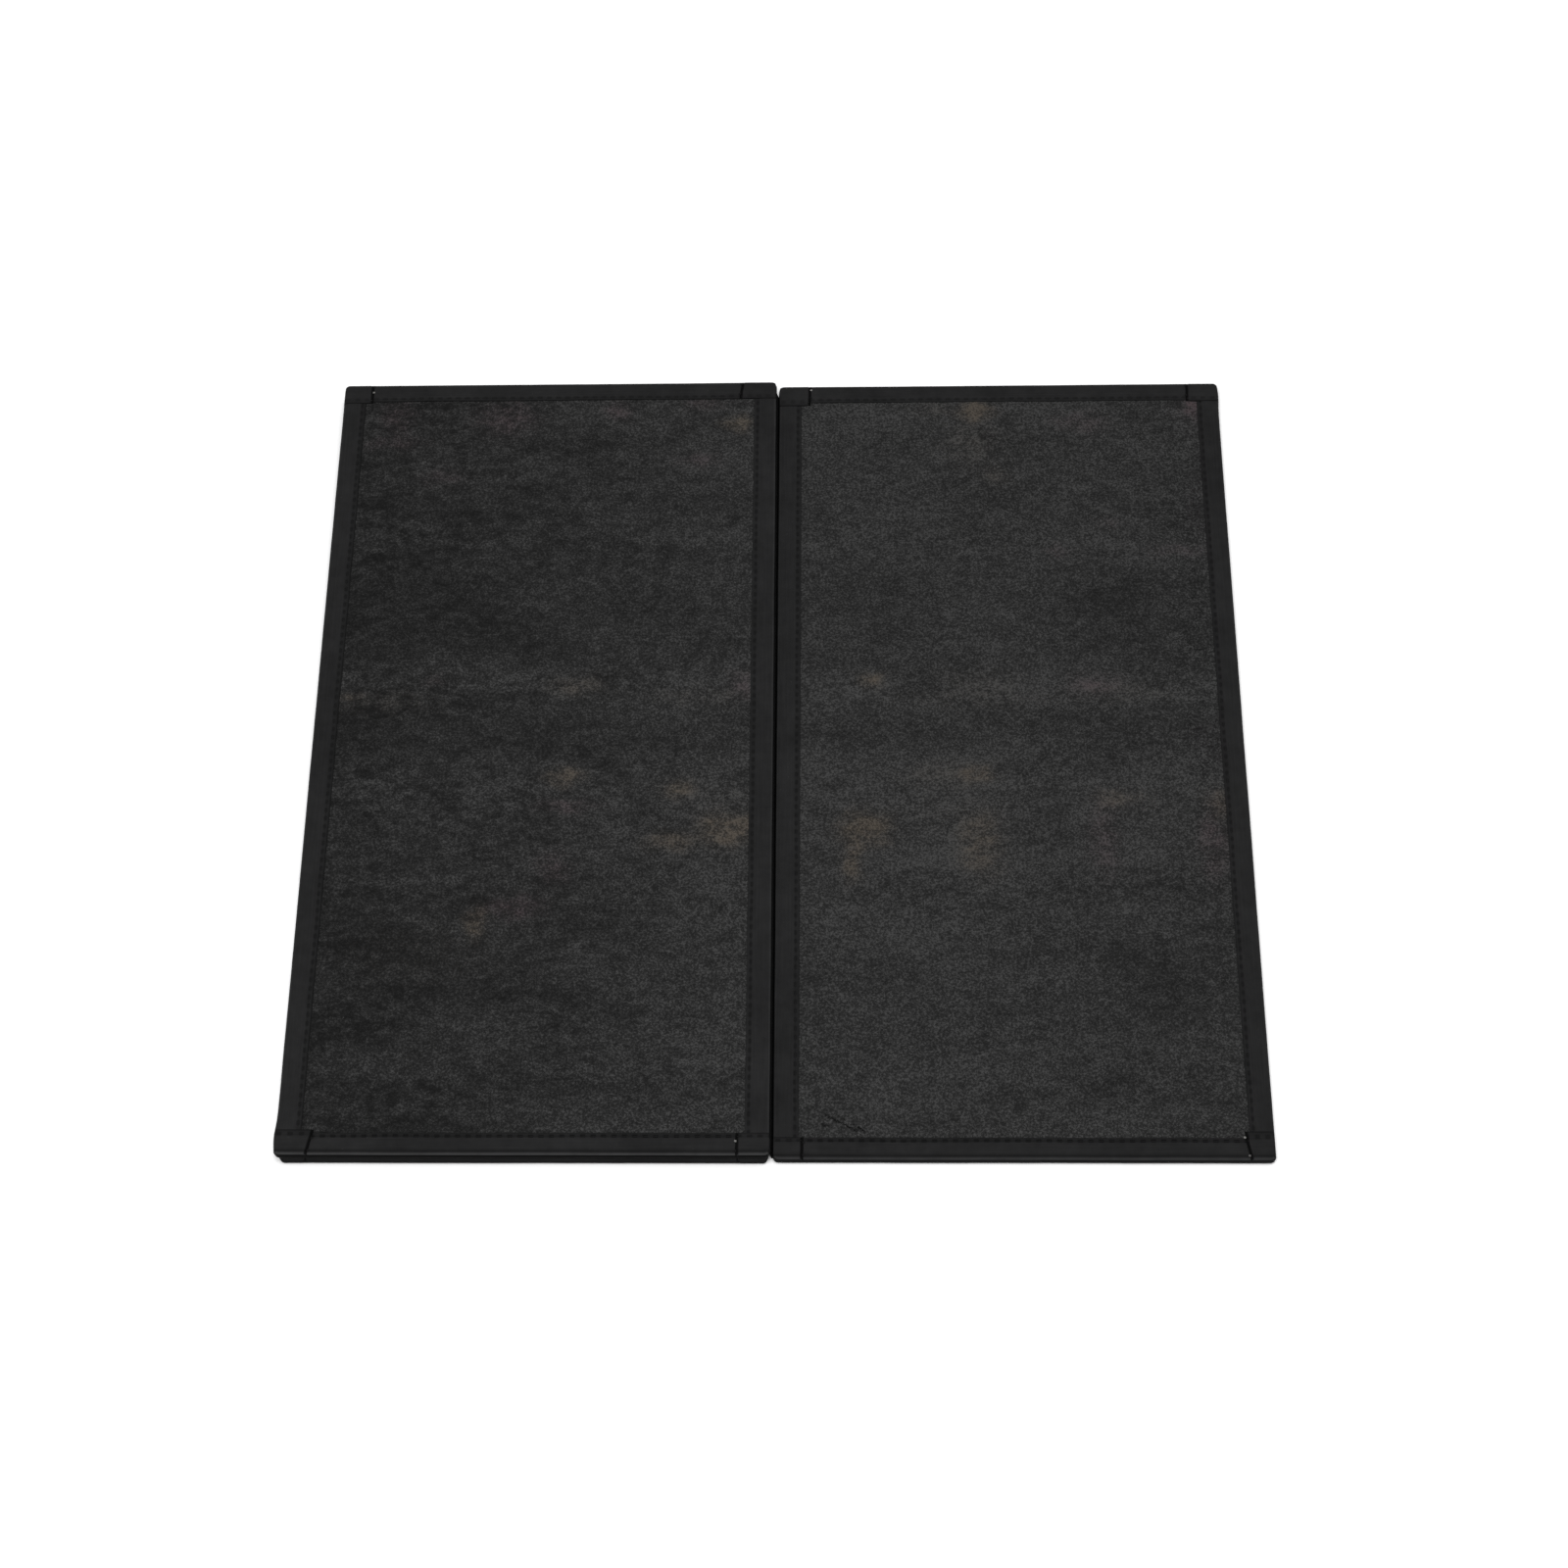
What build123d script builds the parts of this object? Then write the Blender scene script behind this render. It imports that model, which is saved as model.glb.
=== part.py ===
"""Folding gym mat: three thin bound panels joined by two fabric hinges, lying half folded.

The middle panel lies on the folded panel, which is turned under it about the fold hinge at the
left. The end panel lies flat beside them and is joined to the middle panel by the spine tape,
which lets its edge rise to the middle panel's level when the folded panel is swung out.
The back cloth of the middle and end panels faces up, and that of the folded panel faces down.

Axes: +X towards the end panel, +Y towards the back, +Z up. The origin is at the middle of the
mat's footprint, on the surface that it lies on. Everything is in millimetres.
"""

import os

from build123d import *

# Layers of a panel, from its face side to its back side
BINDING_WALL = 0.4
FACE_SKIN = 0.8
FOAM_CORE = 4.0
BACK_CLOTH = 0.6
PANEL_THICKNESS = 2 * BINDING_WALL + FACE_SKIN + FOAM_CORE + BACK_CLOTH

# Widths and lengths of the panels; each is a little out of square, as sewn
MIDDLE_WIDTH = 296.6
MIDDLE_LENGTHS = (597.0, 600.0)  # at its left side and at its right side
FOLDED_WIDTH = 295.6
FOLDED_LENGTHS = (596.4, 598.8)
END_WIDTH = 301.4
END_LENGTHS = (600.5, 603.5)
END_SETBACK = 0.8  # how far the end panel's front edge stands behind the middle panel's
FOLDED_SETBACK = 0.3

# Edge binding
BINDING_WIDTH = 15.0
EDGE_ROUNDING = 2.2
CORNER_RADIUS = 3.5
EDGE_FILL = 1.4  # binding thickness at the panel's edge
CAP_LENGTH = 19.0  # corner cap, along the short side

# Stitching, sunk into the binding
THREAD_WIDTH = 0.6
THREAD_DEPTH = 0.25
SEAM_INSET = 12.8  # from the panel's edge to the middle of its seam
SEAM_END = 3.0  # left free at each end of a short side's seam
TACK_LENGTH = 2.4
TACK_INSETS = (2.8, 11.2)  # from the panel's edge to the middle of each tack

# Hinges
LAYER_CLEARANCE = 0.6  # between panels that lie on each other
SPINE_GAP = 2.0  # between the middle panel and the end panel
TAPE_THICKNESS = 0.5
TAPE_END = 4.0  # how far a hinge tape stops short of the panels' front and back
FOLD_TAPE_REACH = 3.2  # how far the fold tape is sewn up each panel's edge
FOLD_TAPE_GAP = 0.3  # free tape between the two halves
SPINE_TAPE_MARGIN = 0.3  # left free above the floor and below the middle panel

BEYOND = 20.0  # how far a cutting shape reaches past what it cuts

MIDDLE_BASE = PANEL_THICKNESS + LAYER_CLEARANCE
TOTAL_WIDTH = TAPE_THICKNESS + MIDDLE_WIDTH + SPINE_GAP + END_WIDTH
TOTAL_LENGTH = END_SETBACK + END_LENGTHS[1]
FRONT = -TOTAL_LENGTH / 2
MIDDLE_LEFT = -TOTAL_WIDTH / 2 + TAPE_THICKNESS
SPINE_X = MIDDLE_LEFT + MIDDLE_WIDTH + SPINE_GAP / 2
END_LEFT = SPINE_X + SPINE_GAP / 2

SIDES = ("front", "right", "back", "left")  # anticlockwise, seen from above


def panel_corners(left, width, front, lengths):
    """The four corners of a panel, anticlockwise from its front left corner."""
    right = left + width
    return [
        Vector(left, front),
        Vector(right, front),
        Vector(right, front + lengths[1]),
        Vector(left, front + lengths[0]),
    ]


def prism(points, low, high):
    """An upright solid over a closed outline, from one height to another."""
    outline = make_face(Polyline(*points, close=True))
    return extrude(Pos(0, 0, low) * outline, high - low)


def side_line(corners, side):
    """One side's first corner, second corner, direction and inward direction."""
    i = SIDES.index(side)
    first = corners[i]
    second = corners[(i + 1) % 4]
    along = (second - first).normalized()
    return first, second, along, along.rotate(Axis.Z, 90)


def band(corners, side, near, far, low=-BEYOND, high=PANEL_THICKNESS + BEYOND):
    """A bar along one side of a panel, between two distances inside that side."""
    first, second, along, inward = side_line(corners, side)
    start = first - along * BEYOND
    end = second + along * BEYOND
    points = [start + inward * near, end + inward * near, end + inward * far, start + inward * far]
    return prism(points, low, high)


def inside(corners, distance, low, high):
    """The part of a panel that is further than a distance from every side."""
    solid = prism(corners, low, high)
    for side in SIDES:
        solid -= band(corners, side, -BEYOND, distance)
    return solid


def panel_body(corners):
    """The outer form of a panel, with rounded corners and a rounded edge all round."""
    block = prism(corners, 0, PANEL_THICKNESS)
    block = fillet(block.edges().filter_by(Axis.Z), CORNER_RADIUS)
    top_and_bottom = [e for e in block.edges() if e.bounding_box().size.Z < 0.001]
    return fillet(top_and_bottom, EDGE_ROUNDING)


def on_both_faces(corners, side, inset):
    """Two thread runs along one side, one sunk into each face of the binding."""
    near = inset - THREAD_WIDTH / 2
    far = inset + THREAD_WIDTH / 2
    upper = band(corners, side, near, far, PANEL_THICKNESS - THREAD_DEPTH, PANEL_THICKNESS)
    lower = band(corners, side, near, far, 0, THREAD_DEPTH)
    return upper + lower


def seams(corners):
    """The thread of the four seams, by side."""
    made = {}
    for side in SIDES:
        run = on_both_faces(corners, side, SEAM_INSET)
        if side in ("front", "back"):
            trims = [("left", SEAM_END), ("right", SEAM_END)]
        else:
            trims = [("front", BINDING_WIDTH), ("back", BINDING_WIDTH)]
        for trim, length in trims:
            run -= band(corners, trim, -2 * BEYOND, length)
        made[side] = run
    return made


def tacks(corners):
    """Short hand tacks that hold down the inner edge of each corner cap, on the back side."""
    made = []
    for side in ("front", "back"):
        for end in ("left", "right"):
            reach = band(corners, end, CAP_LENGTH - TACK_LENGTH / 2, CAP_LENGTH + TACK_LENGTH / 2)
            for inset in TACK_INSETS:
                near = inset - THREAD_WIDTH / 2
                low = PANEL_THICKNESS - THREAD_DEPTH
                line = band(corners, side, near, near + THREAD_WIDTH, low, PANEL_THICKNESS)
                made.append((line & reach).solid())
    return Compound(made)


def panel(name, corners, left_word, right_word):
    """Every piece of one panel, by node name, with its back cloth up and its lowest face at 0."""
    words = {"left": left_word, "right": right_word}
    face_low = BINDING_WALL
    core_low = face_low + FACE_SKIN
    cloth_low = core_low + FOAM_CORE
    cloth_high = cloth_low + BACK_CLOTH
    pieces = {
        f"{name}_face_skin": inside(corners, EDGE_FILL, face_low, core_low),
        f"{name}_foam_core": inside(corners, EDGE_FILL, core_low, cloth_low),
        f"{name}_back_cloth": inside(corners, EDGE_FILL, cloth_low, cloth_high),
    }

    threads = seams(corners)
    tack_group = tacks(corners)
    binding = panel_body(corners) - inside(corners, EDGE_FILL, face_low, cloth_high)
    binding -= inside(corners, BINDING_WIDTH, -BEYOND, PANEL_THICKNESS + BEYOND)
    for thread in [*threads.values(), tack_group]:
        binding -= thread

    long_part = binding
    for side in ("front", "back"):
        short_part = binding & band(corners, side, -BEYOND, BINDING_WIDTH)
        long_part -= band(corners, side, -BEYOND, BINDING_WIDTH)
        for end in ("left", "right"):
            cap_reach = band(corners, end, -BEYOND, CAP_LENGTH)
            pieces[f"{name}_corner_cap_{side}_{words[end]}"] = short_part & cap_reach
            short_part -= cap_reach
        pieces[f"{name}_binding_{side}"] = short_part
    for side in ("left", "right"):
        piece = long_part & band(corners, side, -BEYOND, BINDING_WIDTH)
        pieces[f"{name}_binding_{words[side]}"] = piece

    for side, thread in threads.items():
        pieces[f"{name}_seam_{words.get(side, side)}"] = thread
    pieces[f"{name}_corner_tacks"] = tack_group
    return pieces


def tape(x_low, x_high, front, back, low, high):
    """A hinge tape standing on edge between two panels."""
    return prism([(x_low, front), (x_high, front), (x_high, back), (x_low, back)], low, high)


def mat():
    """Every piece of the mat where it lies, by node name."""
    middle_corners = panel_corners(MIDDLE_LEFT, MIDDLE_WIDTH, FRONT, MIDDLE_LENGTHS)
    folded_corners = panel_corners(MIDDLE_LEFT, FOLDED_WIDTH, FRONT + FOLDED_SETBACK, FOLDED_LENGTHS)
    end_corners = panel_corners(END_LEFT, END_WIDTH, FRONT + END_SETBACK, END_LENGTHS)
    pieces = {}
    for node, solid in panel("middle", middle_corners, "fold_side", "spine_side").items():
        pieces[node] = Pos(0, 0, MIDDLE_BASE) * solid
    for node, solid in panel("folded", folded_corners, "fold_side", "free_side").items():
        pieces[node] = Pos(0, 0, PANEL_THICKNESS) * mirror(solid, about=Plane.XY)
    pieces.update(panel("end", end_corners, "spine_side", "free_side"))

    front = FRONT + END_SETBACK + TAPE_END
    fold_back = FRONT + MIDDLE_LENGTHS[0] - TAPE_END
    fold_line = PANEL_THICKNESS + LAYER_CLEARANCE / 2
    pieces["fold_tape_upper"] = tape(
        MIDDLE_LEFT - TAPE_THICKNESS,
        MIDDLE_LEFT,
        front,
        fold_back,
        fold_line + FOLD_TAPE_GAP / 2,
        fold_line + FOLD_TAPE_GAP / 2 + FOLD_TAPE_REACH,
    )
    pieces["fold_tape_lower"] = tape(
        MIDDLE_LEFT - TAPE_THICKNESS,
        MIDDLE_LEFT,
        front,
        fold_back,
        fold_line - FOLD_TAPE_GAP / 2 - FOLD_TAPE_REACH,
        fold_line - FOLD_TAPE_GAP / 2,
    )
    pieces["spine_tape"] = tape(
        SPINE_X - TAPE_THICKNESS / 2,
        SPINE_X + TAPE_THICKNESS / 2,
        front,
        FRONT + MIDDLE_LENGTHS[1] - TAPE_END,
        SPINE_TAPE_MARGIN,
        fold_line - SPINE_TAPE_MARGIN,
    )
    return pieces


os.makedirs("parts", exist_ok=True)
for node, solid in mat().items():
    export_step(solid, f"parts/{node}.step")
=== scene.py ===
"""The looks of a folding three-panel gym mat: cloth, bindings, stitching and hinge tapes on the CAD frame.

Each panel is described in its own flat coordinates, in metres: u from its left edge, v from its front
edge and h above its mid-plane. e is the distance in from whichever edge a strip of binding goes round.
"""

import math

import bpy
import numpy as np
from mathutils import Matrix, Vector


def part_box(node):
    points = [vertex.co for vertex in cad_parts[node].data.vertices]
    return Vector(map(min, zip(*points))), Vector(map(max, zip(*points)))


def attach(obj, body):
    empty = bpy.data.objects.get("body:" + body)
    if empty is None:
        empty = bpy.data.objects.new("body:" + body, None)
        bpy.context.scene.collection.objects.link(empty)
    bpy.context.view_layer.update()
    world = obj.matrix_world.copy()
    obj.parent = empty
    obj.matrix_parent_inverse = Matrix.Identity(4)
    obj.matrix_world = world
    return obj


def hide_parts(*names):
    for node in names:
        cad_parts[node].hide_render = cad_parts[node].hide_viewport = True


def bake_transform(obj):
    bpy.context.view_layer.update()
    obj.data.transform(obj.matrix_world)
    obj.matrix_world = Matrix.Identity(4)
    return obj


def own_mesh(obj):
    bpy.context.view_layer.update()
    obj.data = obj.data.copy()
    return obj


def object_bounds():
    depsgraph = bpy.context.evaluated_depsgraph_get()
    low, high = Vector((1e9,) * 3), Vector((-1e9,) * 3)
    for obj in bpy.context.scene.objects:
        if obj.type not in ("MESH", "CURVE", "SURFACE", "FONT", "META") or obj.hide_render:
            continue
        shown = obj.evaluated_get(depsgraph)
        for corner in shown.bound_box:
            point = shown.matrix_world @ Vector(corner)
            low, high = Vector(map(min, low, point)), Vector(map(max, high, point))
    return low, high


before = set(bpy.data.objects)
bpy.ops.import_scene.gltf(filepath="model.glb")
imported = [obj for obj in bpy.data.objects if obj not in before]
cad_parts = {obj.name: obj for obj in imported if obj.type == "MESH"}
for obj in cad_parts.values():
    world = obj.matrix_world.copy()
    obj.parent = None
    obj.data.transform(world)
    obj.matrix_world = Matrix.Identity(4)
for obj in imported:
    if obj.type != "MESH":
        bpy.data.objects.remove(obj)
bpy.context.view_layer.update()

MM = 0.001
TURN = 2 * math.pi

# ---- sizes of the soft goods ----
# The binding: how far it reaches in on each face, where its seam and its ironed crease run, how wide
# the strip of painted shade at its inner edge is, and how far short of the corners it ends.
BINDING_REACH = 15.0 * MM
SEAM_INSET = 12.8 * MM
FOLD_LINE = 2.7 * MM
EDGE_SHADE_WIDTH = 1.0 * MM
BINDING_ENDS = 5.0 * MM
# How much the inner edge of a binding and of a cap wanders.
BINDING_WAVE = 0.32 * MM
CAP_WAVE = 0.1 * MM
# A panel's rounded edge, which is squarer beside the gap, its corners as seen and as the CAD has them,
# and how far in from a side its bulges fade out.
EDGE_ROUNDING = 2.4 * MM
GAP_ROUNDING = 0.9 * MM
EDGE_POWER = 2.6
CORNER_RADIUS = 3.6 * MM
CAD_CORNER_RADIUS = 3.5 * MM
CAD_CAP_LENGTH = 19.0 * MM
BULGE_FADE = 18.0 * MM
# How thick the sheets are, how far in the cloth's own edge lies, and how deep under the binding.
TAPE = 0.45 * MM
HINGE_TAPE = 0.34 * MM
CLOTH = 0.5 * MM
SKIN = 0.8 * MM
TUCK = 3.2 * MM
UNDER_BINDING = 0.72 * MM
# The foam slab.
CORE_INSET = 3.8 * MM
CORE_THICKNESS = 3.7 * MM
CORE_ROUNDING = 0.9 * MM
# How far each layer of tape lies below the outline, or above it for the caps, and the share of its
# drop by which it is further in.
LONG_DROP = 0.30 * MM
SHORT_DROP = 0.14 * MM
CAP_LIFT = 0.22 * MM
DROP_INSET = 0.35
# How far from the corner a seam runs over the cap, and the tape's turn round an edge in half-thicknesses.
CAP_COVER = 17.5 * MM
TURN_ROUND = 1.4
# Thread: length, width and height of a stitch and of a tack's strand, how far the stitches stand above
# the tape, and how far the tacks at the left and the right are turned.
STITCH_PITCH = 6.25 * MM
STITCH = (4.9 * MM, 0.60 * MM, 0.42 * MM)
SHORT_SEAM_START = 3.4 * MM
TACK_STRAND = (1.7 * MM, 0.45 * MM, 0.5 * MM)
TACK_PITCH = 0.40 * MM
THREAD_LIFT = 0.05 * MM
LEFT_TURN = 0.14
RIGHT_TURN = -0.2
# The cloth rises out from under the binding from here, over this distance.
RISE_FROM = 14.2 * MM
RISE_RUN = 9.0 * MM
# How far apart the face skin's points are, and how full it lies.
FACE_SPACING = 4.0 * MM
FACE_CROWN = -0.22 * MM
# The spacing of the points about a crease, how far round it they go, and how far beside it its ridge is.
CREASE_SPACING = 0.6 * MM
CREASE_MARGIN = 3.0 * MM
RIDGE_BESIDE = 1.6
# Where each kind of random draw starts.
CLOTH_SEED = 1000
DUST_SEED = 3000
CORE_SEED = 4000
FOLD_TAPE_SEED = 71
SPINE_TAPE_SEED = 72
# Edges turned by less than this are shaded smooth.
SMOOTH_UP_TO = math.radians(50)
# The pitch of the cloth's embossed diamonds, of the thread's twist and slant, and of the tapes' ribs.
EMBOSS_PITCH = 1.53 * MM
TWIST_PITCH = 0.42 * MM
SLANT_PITCH = 0.9 * MM
BINDING_RIB = 0.62 * MM
HINGE_RIB = 0.9 * MM


# ---- small tools ----
def clear_selection():
    bpy.ops.object.select_all(action="DESELECT")


def pick(piece):
    """Makes the piece the only selected and the active one."""
    clear_selection()
    piece.select_set(True)
    bpy.context.view_layer.objects.active = piece


def points_of(piece):
    """The piece's points, one row each."""
    flat = np.empty(len(piece.data.vertices) * 3, np.float32)
    piece.data.vertices.foreach_get("co", flat)
    return flat.reshape(-1, 3).astype(float)


def set_points(piece, points):
    """Moves the piece's points to new places."""
    piece.data.vertices.foreach_set("co", np.asarray(points, np.float32).ravel())
    piece.data.update()


def apply_modifier(piece, kind, **settings):
    """Adds one modifier to the piece and makes its result the piece's own shape."""
    pick(piece)
    modifier = piece.modifiers.new(kind.title(), kind)
    for name, value in settings.items():
        setattr(modifier, name, value)
    bpy.ops.object.modifier_apply(modifier=modifier.name)


def edit(piece, step, **settings):
    """Runs one edit-mode step on all of a piece."""
    pick(piece)
    bpy.ops.object.mode_set(mode="EDIT")
    bpy.ops.mesh.select_all(action="SELECT")
    step(**settings)
    bpy.ops.object.mode_set(mode="OBJECT")


def net(name, across, along):
    """A net of quads, and where each of its points is in the lists across and along."""
    clear_selection()
    bpy.ops.mesh.primitive_grid_add(x_subdivisions=len(across) - 1, y_subdivisions=len(along) - 1, size=2)
    piece = bpy.context.object
    piece.name = name
    piece.data.name = name
    place = (points_of(piece) + 1) / 2
    column = np.rint(place[:, 0] * (len(across) - 1)).astype(int)
    row = np.rint(place[:, 1] * (len(along) - 1)).astype(int)
    return piece, across[column], along[row]


def lay_pattern(piece, across, along):
    """Gives the piece the coordinates of its own flat pattern, in metres, for the weave to follow."""
    corners = np.empty(len(piece.data.loops), np.int32)
    piece.data.loops.foreach_get("vertex_index", corners)
    pattern = np.stack([across[corners], along[corners]], -1).astype(np.float32)
    piece.data.uv_layers.active.data.foreach_set("uv", pattern.ravel())


def note(piece, name, values):
    """Keeps one number for each point, for the finish to read."""
    attribute = piece.data.attributes.new(name, "FLOAT", "POINT")
    attribute.data.foreach_set("value", np.asarray(values, np.float32))


def smooth(t):
    """A smooth step from 0 at 0 to 1 at 1."""
    t = np.clip(t, 0, 1)
    return t * t * (3 - 2 * t)


def wander(t, seed, longest):
    """A smooth wander between about -1 and 1 along t, the same every time."""
    dice = np.random.default_rng(seed)
    total = np.zeros_like(t)
    for k in range(5):
        wave = longest / 1.75**k
        total = total + np.sin(t * TURN / wave + dice.uniform(0, TURN)) * dice.uniform(0.5, 1) / 1.4**k
    return total / 2.2


def rolling(u, v, seed, longest):
    """A smooth rolling surface between about -1 and 1."""
    dice = np.random.default_rng(seed)
    total = np.zeros_like(u)
    for k in range(9):
        heading = dice.uniform(0, TURN)
        wave = longest / 1.3**k
        t = u * math.cos(heading) + v * math.sin(heading)
        total = total + np.sin(t * TURN / wave + dice.uniform(0, TURN)) / 1.25**k
    return total / 3.2


# ---- the three panels ----
class Panel:
    """A panel's outline as the CAD has it, and the way from its flat coordinates to the shared frame.

    left and right are the CAD's names for its long sides, and gap_side is the one beside the gap.
    back_cloth_face is 1 if the back cloth faces up and -1 if it faces down. lift is 1 if the corner caps
    stand above the outline and 0 if they lie flush with it.
    """

    def __init__(self, name, left, right, back_cloth_face, lift, gap_side, bulges):
        self.name = name
        self.roundings = [GAP_ROUNDING if side == gap_side else EDGE_ROUNDING for side in ("left", "right")]
        self.bulges = bulges
        self.body = name + "_panel"
        self.left_name = left
        self.right_name = right
        self.back_cloth_face = back_cloth_face
        self.lift = lift
        low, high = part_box(name + "_binding_front")
        self.front = low.y
        self.mid = (low.z + high.z) / 2
        self.half = (high.z - low.z) / 2
        self.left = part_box(name + "_binding_" + left)[0].x
        self.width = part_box(name + "_binding_" + right)[1].x - self.left
        back_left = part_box(name + "_corner_cap_back_" + left)[1].y
        back_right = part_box(name + "_corner_cap_back_" + right)[1].y
        # The back edge may run out of square, so the panel's length changes from left to right.
        slope = (back_right - back_left) / (self.width - CAD_CORNER_RADIUS - CAD_CAP_LENGTH)
        self.length = back_left - slope * CAD_CAP_LENGTH - self.front
        self.lengthening = slope / self.length

    def place(self, u, v, h):
        """The shared frame's x, y and z for points at u, v and h."""
        du = np.minimum(u, self.width - u)
        for side, at, reach, amount in self.bulges:
            near = (u < self.width / 2) == (side == "left")
            outward = amount * np.exp(-(((v - at) / reach) ** 2)) * smooth(1 - du / BULGE_FADE)
            u = u - np.where(near, outward, 0) * (1 if side == "left" else -1)
        v = v * (1 + self.lengthening * u)
        return np.stack([self.left + u, self.front + v, self.mid + h], -1)

    def fullness(self, u, v):
        """How full the rounded edge of the panel is, from 0 at its outline to 1 on the flat."""
        full = np.ones_like(u)
        edges = [(u, self.roundings[0]), (self.width - u, self.roundings[1])]
        for distance, rounding in edges + [(v, EDGE_ROUNDING), (self.length - v, EDGE_ROUNDING)]:
            inward = np.clip(1 - distance / rounding, 0, 1)
            full = np.minimum(full, (1 - inward**EDGE_POWER) ** (1 / EDGE_POWER))
        return full

    def side_length(self, side):
        """How long one side of the panel is."""
        return self.width if side in ("front", "back") else self.length

    def from_side(self, side, e, along):
        """u and v of a point e in from one side, along from that side's left or front end."""
        if side == "left":
            return e, along
        if side == "right":
            return self.width - e, along
        if side == "front":
            return along, e
        return along, self.length - e

    def node_side(self, side):
        """What the CAD calls a side."""
        return {"left": self.left_name, "right": self.right_name}.get(side, side)

    def round_corners(self, u, v):
        """Moves points near a corner in to its rounded outline."""
        du = np.minimum(u, self.width - u)
        dv = np.minimum(v, self.length - v)
        a = CORNER_RADIUS - du
        b = CORNER_RADIUS - dv
        inside = (a > 0) & (b > 0)
        furthest = np.maximum(a, b)
        scale = np.where(inside, furthest / np.maximum(np.hypot(a, b), 1e-9), 1)
        new_du = np.where(inside, CORNER_RADIUS - a * scale, du)
        new_dv = np.where(inside, CORNER_RADIUS - b * scale, dv)
        u = np.where(u < self.width / 2, new_du, self.width - new_du)
        v = np.where(v < self.length / 2, new_dv, self.length - new_dv)
        return u, v


# Where a panel's sides stand out or in: which side, how far from the front, over what length,
# and by how much.
MIDDLE_BULGES = [
    ("left", 13 * MM, 10 * MM, 1.1 * MM),
    ("left", 300 * MM, 900 * MM, 0.45 * MM),
    ("right", 300 * MM, 900 * MM, 0.15 * MM),
]
FOLDED_BULGES = [("left", 0, 26 * MM, -1.9 * MM)]
END_BULGES = [("left", 300 * MM, 900 * MM, 0.55 * MM), ("right", 590 * MM, 10 * MM, 0.5 * MM)]
MIDDLE = Panel("middle", "fold_side", "spine_side", 1, 1, "right", MIDDLE_BULGES)
FOLDED = Panel("folded", "fold_side", "free_side", -1, 0, None, FOLDED_BULGES)
END = Panel("end", "spine_side", "free_side", 1, 1, "left", END_BULGES)
PANELS = [MIDDLE, FOLDED, END]
SIDES = ["front", "back", "left", "right"]
# How strong the painted shade at the inner edge of each side's tape is, and how strongly the darker strip
# between seam and inner edge and the painted shade in the seam's groove show.
EDGE_SHADES = {
    "middle": {"front": 0.15, "back": 0.60, "left": 0.75, "right": 0.10},
    "folded": dict.fromkeys(SIDES, 0.5),
    "end": {"front": 0.15, "back": 0.45, "left": 0.25, "right": 0.35},
}
MARGINS = {"front": 1.0, "back": 0.2, "left": 0.4, "right": 0.4}
# How much painted shade darkens the outer face of each panel's tape, and how strong the painted highlight
# on its shoulder is.
PAINTED_SHADE = {"middle": 0.96, "folded": 0.55, "end": 0.60}
SHOULDER_HIGHLIGHT = {"middle": 0.9, "folded": 0.0, "end": 0.5}


# ---- bindings and corner caps ----
def tape_relief(e, along, seed):
    """The tape's surface about its level: a sunk seam, dimpled at each stitch, and a pressed margin."""
    seam = np.exp(-(((e - SEAM_INSET) / (0.75 * MM)) ** 2))
    hole = 0.5 + 0.5 * np.cos(along * TURN / STITCH_PITCH)
    sunk = seam * (0.20 + 0.16 * hole) * MM
    puckers = 0.035 * MM * hole + 0.09 * MM * wander(along, seed, 0.06)
    puffed = np.sin(np.clip(e / SEAM_INSET, 0, 1) * math.pi) * (0.10 * MM + puckers)
    pressed = smooth((e - 13.2 * MM) / (1.8 * MM)) * 0.16 * MM
    return puffed - sunk - pressed


def fold_line(e):
    """The ironed crease along the front edges of the tape."""
    return np.exp(-(((e - FOLD_LINE) / (0.70 * MM)) ** 2))


def side_seed(panel, side):
    """Where the random draws of one side start."""
    return 100 * PANELS.index(panel) + 10 * SIDES.index(side)


def inner_edge(signed):
    """0 over most of the tape, rising to 1 at its inner edge."""
    return smooth((np.abs(signed) - BINDING_REACH + EDGE_SHADE_WIDTH) / EDGE_SHADE_WIDTH)


# How far in from the edge a tape has points, in mm, closest together at its shoulder and its seam.
SHOULDER_STEPS = [0, 0.05, 0.2, 0.5, 0.9, 1.4, 2.0, 2.7, 3.4, 5, 7.2, 9.4]
SEAM_STEPS = [11.2, 12.0, 12.4, 12.8, 13.2, 13.7, 14.4, 15]
E_STEPS = np.array(SHOULDER_STEPS + SEAM_STEPS) * MM
SIGNED_STEPS = np.concatenate([-E_STEPS[:0:-1], E_STEPS])


def wrap_points(panel, side, signed, along, drop, reach, wave):
    """Where a tape folded round one side of a panel lies, as u, v and h.

    signed is the distance in from the edge, below 0 on the upper face.
    """
    upper = signed < 0
    e = np.abs(signed)
    share = e / BINDING_REACH
    seed = side_seed(panel, side)
    stretched = e + (reach - BINDING_REACH) * share**3
    wavy = wave * share**2 * wander(along, seed + 1, 0.11) * np.where(upper, 1, -0.6)
    level_drop = np.where(upper, drop, np.abs(drop))
    slack = 0.10 * MM * (1 + wander(along, seed + 2, 0.19)) * (1 - share)
    inset = np.abs(drop) * DROP_INSET + slack
    u, v = panel.from_side(side, stretched + wavy, along)
    full = panel.fullness(u, v)
    u, v = panel.round_corners(u, v)
    if side in ("left", "right"):
        u = u + inset * np.where(u < panel.width / 2, 1, -1)
    else:
        v = v + inset * np.where(v < panel.length / 2, 1, -1)
    rise = panel.half - level_drop + tape_relief(e, along, seed + 3)
    if side == "front":
        rise = rise - fold_line(e) * 0.10 * MM
    h = np.where(upper, 1, -1) * rise * full
    return u, v, h


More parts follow.
